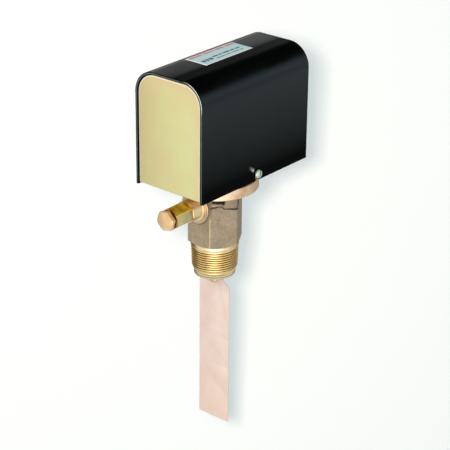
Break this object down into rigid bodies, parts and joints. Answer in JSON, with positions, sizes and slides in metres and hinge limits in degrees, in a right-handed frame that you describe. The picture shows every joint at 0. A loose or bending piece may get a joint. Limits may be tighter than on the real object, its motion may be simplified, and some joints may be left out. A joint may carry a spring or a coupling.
{
  "type": "paddle flow switch",
  "caption": "Paddle flow switch: brass pipe-thread body with a swinging paddle below and a switch housing under a black lift-off cover above.",
  "frame": {"origin": "on the axis of the pipe thread, where the full thread begins above the plain nose", "axes": "+Z along the pipe thread's axis, up out of the tee towards the housing; X along the housing, whose plain end plate faces -X; the flow that trips the switch runs towards -X"},
  "size_m": [0.148, 0.0798, 0.3512],
  "materials": {
    "cast_brass": "satin",
    "turned_brass": "polished",
    "spring_steel": "satin",
    "stainless_steel": "brushed",
    "zinc_steel": "satin",
    "yellow_zinc": "satin",
    "black_enamel": "satin gloss",
    "green_enamel": "gloss",
    "label_film": "satin",
    "phosphor_bronze": "satin",
    "phenolic": "satin",
    "red_plunger": "satin",
    "fibre_sheet": "matte"
  },
  "bodies": {
    "housing": {"body_casting": "cast_brass", "range_barrel": "turned_brass", "end_cap": "turned_brass", "screw_retainer": "turned_brass", "range_spring": "spring_steel", "bellows_ring": "turned_brass", "bellows": "turned_brass", "pivot_bracket": "stainless_steel", "pivot_pins": "stainless_steel", "flange_screws": "zinc_steel", "housing_base": "yellow_zinc", "cover_screws": "zinc_steel", "ground_screw": "green_enamel", "switch_body": "phenolic", "switch_bracket": "zinc_steel", "switch_insulator": "fibre_sheet", "switch_screws": "zinc_steel", "bracket_screws": "zinc_steel", "lever_pin": "stainless_steel", "terminals": "turned_brass", "terminal_screws": "zinc_steel"},
    "cover": {"cover": "black_enamel", "cover_label": "label_film"},
    "paddle": {"paddle_arm": "turned_brass", "arm_yoke": "stainless_steel", "arm_nut": "stainless_steel", "paddle": "phosphor_bronze", "paddle_clamp": "stainless_steel", "paddle_screws": "stainless_steel"},
    "switch_lever": {"switch_lever": "stainless_steel"},
    "switch_plunger": {"switch_plunger": "red_plunger"},
    "spring_follower": {"spring_follower": "turned_brass"},
    "range_screw": {"range_screw": "turned_brass"},
    "spring_nut": {"spring_nut": "turned_brass"}
  },
  "joints": [
    {"name": "cover_lift", "type": "slide", "parent": "housing", "child": "cover", "axis": [0, 0, 1], "range_m": [0, 0.13]},
    {"name": "paddle_swing", "type": "hinge", "parent": "housing", "child": "paddle", "pos_m": [0, 0, 0.1072], "axis": [0, 1, 0], "range_deg": [0, 5], "stiffness_Nm_per_rad": 0.8, "springref_deg": -2.86, "deforming": ["bellows", "range_spring"]},
    {"name": "lever_swing", "type": "hinge", "parent": "housing", "child": "switch_lever", "pos_m": [0.0135, 0, 0.1522], "axis": [0, -1, 0], "range_deg": [0, 7]},
    {"name": "plunger_press", "type": "slide", "parent": "housing", "child": "switch_plunger", "axis": [1, 0, 0], "range_m": [0, 0.0012]},
    {"name": "follower_slide", "type": "slide", "parent": "housing", "child": "spring_follower", "axis": [1, 0, 0], "range_m": [-0.0037, 0]},
    {"name": "range_screw_turn", "type": "hinge", "parent": "housing", "child": "range_screw", "pos_m": [-0.052, 0, 0.0655], "axis": [1, 0, 0], "range_deg": [-1080, 1080]},
    {"name": "nut_travel", "type": "slide", "parent": "housing", "child": "spring_nut", "axis": [1, 0, 0], "range_m": [-0.003, 0.003]}
  ],
  "couplings": [
    {"joint": "lever_swing", "follows": "paddle_swing", "ratio": 1.3684},
    {"joint": "plunger_press", "follows": "paddle_swing", "m_per_rad": 0.012316},
    {"joint": "follower_slide", "follows": "paddle_swing", "m_per_rad": -0.0417},
    {"joint": "nut_travel", "follows": "range_screw_turn", "m_per_rad": -0.00015915}
  ]
}
